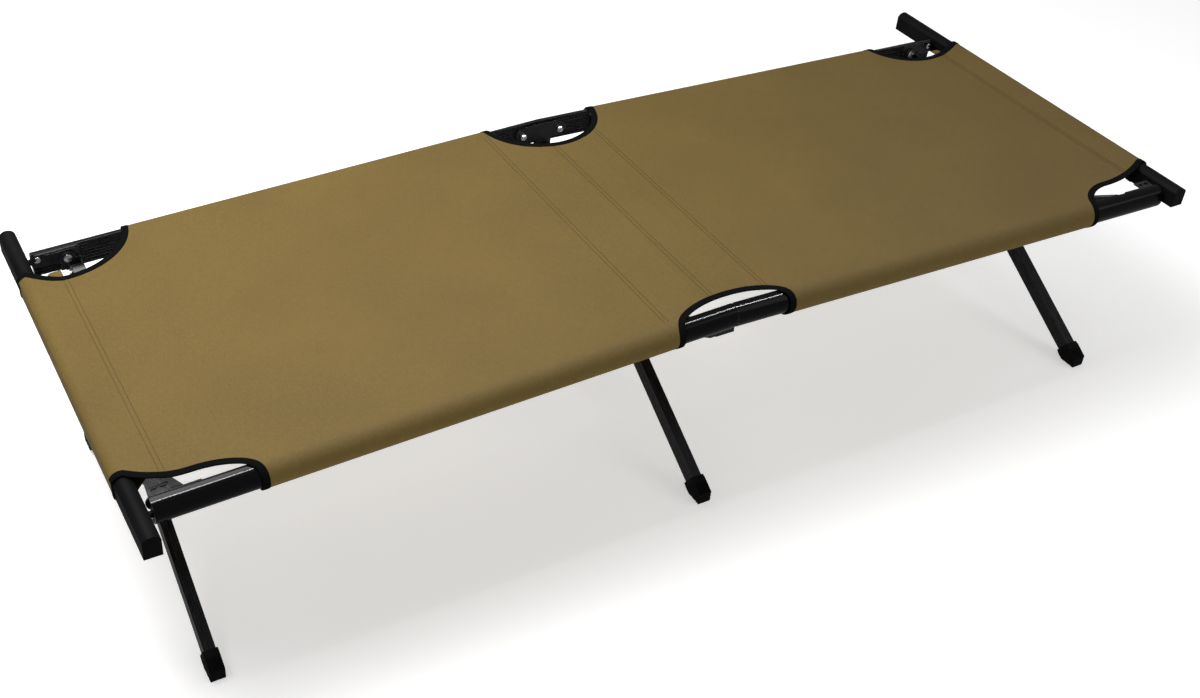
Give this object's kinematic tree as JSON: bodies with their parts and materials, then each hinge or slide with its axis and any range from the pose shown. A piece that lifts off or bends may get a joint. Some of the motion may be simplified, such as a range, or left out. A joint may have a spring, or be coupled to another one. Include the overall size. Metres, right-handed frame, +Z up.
{
  "type": "folding cot",
  "caption": "Long folding cot: fabric deck on two hinged side rails, crossed folding leg pairs and removable end bars.",
  "frame": {"origin": "on the floor, under the centre of the object's bounding box", "axes": "+X along the bed, +Y towards the back side rail, +Z up"},
  "size_m": [1.9048, 0.797, 0.4296],
  "materials": {
    "black_rail": "smooth black anodised extrusion with a clear highlight",
    "black_steel": "black painted pressed steel, satin",
    "rivet": "bare zinc plated rivet heads",
    "black_leg": "black ribbed aluminium extrusion, satin",
    "foot_rubber": "ribbed black moulded cap",
    "bar_black": "fine textured matt black coating",
    "cap_plastic": "matt black moulded cap",
    "canvas": "coyote tan canvas, plain weave, matt",
    "binding": "black woven binding tape"
  },
  "bodies": {
    "centre_back": {"back_link_plate": "black_steel", "back_link_pins": "rivet", "canvas_centre": "canvas", "binding_centre": "binding"},
    "centre_front": {"front_link_plate": "black_steel", "front_link_pins": "rivet"},
    "middle_leg_a": {"middle_leg_a": "black_leg", "middle_foot_a": "foot_rubber", "middle_cross_rivet": "rivet"},
    "middle_leg_b": {"middle_leg_b": "black_leg", "middle_foot_b": "foot_rubber"},
    "side_back_left": {"rail_back_left": "black_rail", "plug_back_left": "cap_plastic", "bracket_back_left": "black_steel", "bracket_rivet_back_left": "rivet", "rail_sleeve_back_left": "canvas", "canvas_left": "canvas", "binding_left": "binding", "end_sleeve_left": "canvas"},
    "hanger_back_left": {"hanger_back_left": "black_steel", "hanger_pins_back_left": "rivet"},
    "side_back_right": {"rail_back_right": "black_rail", "plug_back_right": "cap_plastic", "bracket_back_right": "black_steel", "bracket_rivet_back_right": "rivet", "rail_sleeve_back_right": "canvas", "canvas_right": "canvas", "binding_right": "binding", "end_sleeve_right": "canvas"},
    "hanger_back_right": {"hanger_back_right": "black_steel", "hanger_pins_back_right": "rivet"},
    "side_front_left": {"rail_front_left": "black_rail", "plug_front_left": "cap_plastic", "bracket_front_left": "black_steel", "bracket_rivet_front_left": "rivet", "rail_sleeve_front_left": "canvas"},
    "hanger_front_left": {"hanger_front_left": "black_steel", "hanger_pins_front_left": "rivet"},
    "side_front_right": {"rail_front_right": "black_rail", "plug_front_right": "cap_plastic", "bracket_front_right": "black_steel", "bracket_rivet_front_right": "rivet", "rail_sleeve_front_right": "canvas"},
    "hanger_front_right": {"hanger_front_right": "black_steel", "hanger_pins_front_right": "rivet"},
    "leg_left_a": {"leg_left_a": "black_leg", "foot_left_a": "foot_rubber", "cross_rivet_left": "rivet"},
    "leg_left_b": {"leg_left_b": "black_leg", "foot_left_b": "foot_rubber"},
    "end_bar_left": {"end_bar_left": "bar_black", "bar_caps_left": "cap_plastic"},
    "leg_right_a": {"leg_right_a": "black_leg", "foot_right_a": "foot_rubber", "cross_rivet_right": "rivet"},
    "leg_right_b": {"leg_right_b": "black_leg", "foot_right_b": "foot_rubber"},
    "end_bar_right": {"end_bar_right": "bar_black", "bar_caps_right": "cap_plastic"}
  },
  "joints": [
    {"name": "fold", "type": "hinge", "parent": "centre_back", "child": "side_back_right", "pos_m": [0.0375, 0.2825, 0.40497], "axis": [0, 1, 0], "range_deg": [0, 88]},
    {"name": "fold_back_left", "type": "hinge", "parent": "centre_back", "child": "side_back_left", "pos_m": [-0.0375, 0.2825, 0.40497], "axis": [0, -1, 0], "range_deg": [0, 88]},
    {"name": "scissor", "type": "hinge", "parent": "centre_back", "child": "middle_leg_a", "pos_m": [0, 0.2605, 0.364], "axis": [1, 0, 0], "range_deg": [0, 50], "deforming": ["canvas_centre", "binding_centre", "canvas_left", "canvas_right", "binding_left", "binding_right", "end_sleeve_left", "end_sleeve_right"]},
    {"name": "middle_cross", "type": "hinge", "parent": "middle_leg_a", "child": "middle_leg_b", "pos_m": [0, -0.0175, 0.18983], "axis": [1, 0, 0], "range_deg": [-100, 0]},
    {"name": "front_link_hinge", "type": "hinge", "parent": "middle_leg_b", "child": "centre_front", "pos_m": [0, -0.2955, 0.364], "axis": [1, 0, 0], "range_deg": [0, 50]},
    {"name": "fold_front_right", "type": "hinge", "parent": "centre_front", "child": "side_front_right", "pos_m": [0.0375, -0.3175, 0.40497], "axis": [0, 1, 0], "range_deg": [0, 88]},
    {"name": "fold_front_left", "type": "hinge", "parent": "centre_front", "child": "side_front_left", "pos_m": [-0.0375, -0.3175, 0.40497], "axis": [0, -1, 0], "range_deg": [0, 88]},
    {"name": "swing_back_left", "type": "hinge", "parent": "side_back_left", "child": "hanger_back_left", "pos_m": [-0.862, 0.2805, 0.38198], "axis": [0, -1, 0], "range_deg": [0, 91.7]},
    {"name": "leg_hinge_back_left", "type": "hinge", "parent": "hanger_back_left", "child": "leg_left_a", "pos_m": [-0.862, 0.2605, 0.364], "axis": [1, 0, 0], "range_deg": [0, 50]},
    {"name": "swing_back_right", "type": "hinge", "parent": "side_back_right", "child": "hanger_back_right", "pos_m": [0.862, 0.2805, 0.38198], "axis": [0, 1, 0], "range_deg": [0, 91.7]},
    {"name": "leg_hinge_back_right", "type": "hinge", "parent": "hanger_back_right", "child": "leg_right_a", "pos_m": [0.862, 0.2605, 0.364], "axis": [1, 0, 0], "range_deg": [0, 50]},
    {"name": "swing_front_left", "type": "hinge", "parent": "side_front_left", "child": "hanger_front_left", "pos_m": [-0.862, -0.3155, 0.38198], "axis": [0, -1, 0], "range_deg": [0, 91.7]},
    {"name": "leg_hinge_front_left", "type": "hinge", "parent": "hanger_front_left", "child": "leg_left_b", "pos_m": [-0.862, -0.2955, 0.364], "axis": [1, 0, 0], "range_deg": [-50, 0]},
    {"name": "swing_front_right", "type": "hinge", "parent": "side_front_right", "child": "hanger_front_right", "pos_m": [0.862, -0.3155, 0.38198], "axis": [0, 1, 0], "range_deg": [0, 91.7]},
    {"name": "leg_hinge_front_right", "type": "hinge", "parent": "hanger_front_right", "child": "leg_right_b", "pos_m": [0.862, -0.2955, 0.364], "axis": [1, 0, 0], "range_deg": [-50, 0]},
    {"name": "bar_release_left", "type": "slide", "parent": "side_back_left", "child": "end_bar_left", "axis": [-1, 0, 0], "range_m": [0, 0.135]},
    {"name": "bar_release_right", "type": "slide", "parent": "side_back_right", "child": "end_bar_right", "axis": [1, 0, 0], "range_m": [0, 0.135]}
  ],
  "couplings": [
    {"joint": "fold_back_left", "follows": "fold", "ratio": 1},
    {"joint": "middle_cross", "follows": "scissor", "ratio": -2},
    {"joint": "front_link_hinge", "follows": "scissor", "ratio": 1},
    {"joint": "fold_front_right", "follows": "fold", "ratio": 1},
    {"joint": "fold_front_left", "follows": "fold", "ratio": 1},
    {"joint": "swing_back_left", "follows": "fold", "ratio": 1.042},
    {"joint": "leg_hinge_back_left", "follows": "scissor", "ratio": 1},
    {"joint": "swing_back_right", "follows": "fold", "ratio": 1.042},
    {"joint": "leg_hinge_back_right", "follows": "scissor", "ratio": 1},
    {"joint": "swing_front_left", "follows": "fold", "ratio": 1.042},
    {"joint": "leg_hinge_front_left", "follows": "scissor", "ratio": -1},
    {"joint": "swing_front_right", "follows": "fold", "ratio": 1.042},
    {"joint": "leg_hinge_front_right", "follows": "scissor", "ratio": -1},
    {"joint": "bar_release_left", "follows": "scissor", "m_per_rad": 0.15},
    {"joint": "bar_release_right", "follows": "scissor", "m_per_rad": 0.15}
  ]
}
